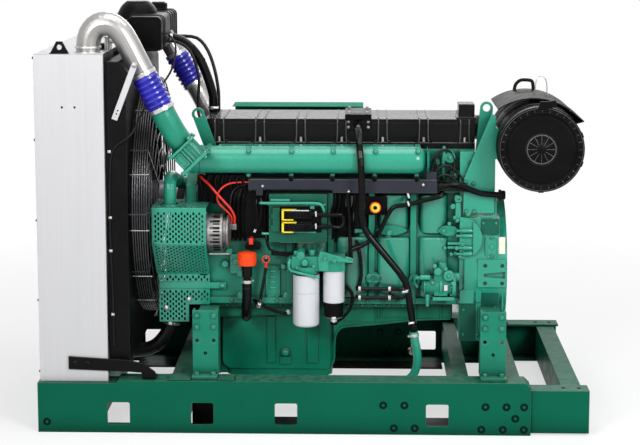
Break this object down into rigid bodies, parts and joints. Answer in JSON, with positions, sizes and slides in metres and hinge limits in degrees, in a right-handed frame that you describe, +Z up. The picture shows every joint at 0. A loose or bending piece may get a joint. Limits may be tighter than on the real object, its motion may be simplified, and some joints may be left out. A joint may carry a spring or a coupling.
{
  "type": "diesel engine",
  "caption": "Inline diesel engine with radiator, belt-driven fan, air filter and fluid filters on a steel skid frame, for driving a generator from its flywheel.",
  "frame": {"origin": "middle of the skid frame's footprint, on the floor", "axes": "+X from the radiator to the flywheel, +Z up, -Y the inlet and filter side"},
  "size_m": [2.112, 1.11, 1.626],
  "materials": {
    "frame_paint": "satin",
    "engine_paint": "satin",
    "black_paint": "satin",
    "black_plastic": "satin",
    "gloss_black": "gloss",
    "rubber": "satin",
    "blue_silicone": "gloss",
    "sheet_aluminium": "brushed",
    "pipe_aluminium": "satin",
    "core_aluminium": "matt",
    "cast_aluminium": "cast",
    "cast_iron": "cast",
    "red_rubber": "satin",
    "steel": "machined",
    "filter_white": "gloss",
    "orange_plastic": "gloss"
  },
  "bodies": {
    "engine": {"rail_near": "frame_paint", "rail_far": "frame_paint", "rail_extensions": "frame_paint", "crossmembers": "frame_paint", "mount_brackets": "engine_paint", "mount_arms": "engine_paint", "oil_sump": "engine_paint", "cylinder_block": "engine_paint", "front_cover": "engine_paint", "damper": "black_paint", "belt": "rubber", "cylinder_head": "engine_paint", "valve_cover": "gloss_black", "flywheel_housing": "engine_paint", "flywheel": "steel", "inlet_manifold": "engine_paint", "inlet_elbow": "engine_paint", "charge_hoses": "blue_silicone", "charge_pipe_near": "pipe_aluminium", "charge_pipe_far": "pipe_aluminium", "radiator_core": "core_aluminium", "radiator_panels": "sheet_aluminium", "radiator_stays": "black_paint", "fan_shroud": "black_paint", "fan_drive": "steel", "fan_guard": "black_paint", "expansion_tank": "black_plastic", "tank_hoses": "rubber", "belt_guard": "engine_paint", "alternator": "cast_aluminium", "coolant_pipe": "engine_paint", "radiator_hoses": "rubber", "control_unit": "engine_paint", "cable_duct": "black_plastic", "harness": "rubber", "filter_heads": "engine_paint", "oil_filter": "filter_white", "fuel_filter": "filter_white", "oil_filler": "orange_plastic", "dipstick": "steel", "breather_pipe": "rubber", "breather_bracket": "black_paint", "fuel_pump": "engine_paint", "fuel_pipes": "rubber", "filter_bracket": "engine_paint", "air_filter": "black_plastic", "rain_hood": "black_paint", "exhaust_manifold": "cast_iron", "turbocharger": "cast_iron", "heat_shield": "engine_paint", "intake_duct": "rubber", "lifting_eyes": "black_paint", "engine_eyes": "engine_paint", "thin_hoses": "rubber", "power_cables": "red_rubber", "starter_motor": "black_paint", "filler_tube": "rubber"},
    "cooling_fan": {"fan": "black_plastic"}
  },
  "joints": [
    {"name": "fan_spin", "type": "hinge", "parent": "engine", "child": "cooling_fan", "pos_m": [-0.728, 0, 0.837], "axis": [1, 0, 0], "continuous": true}
  ]
}
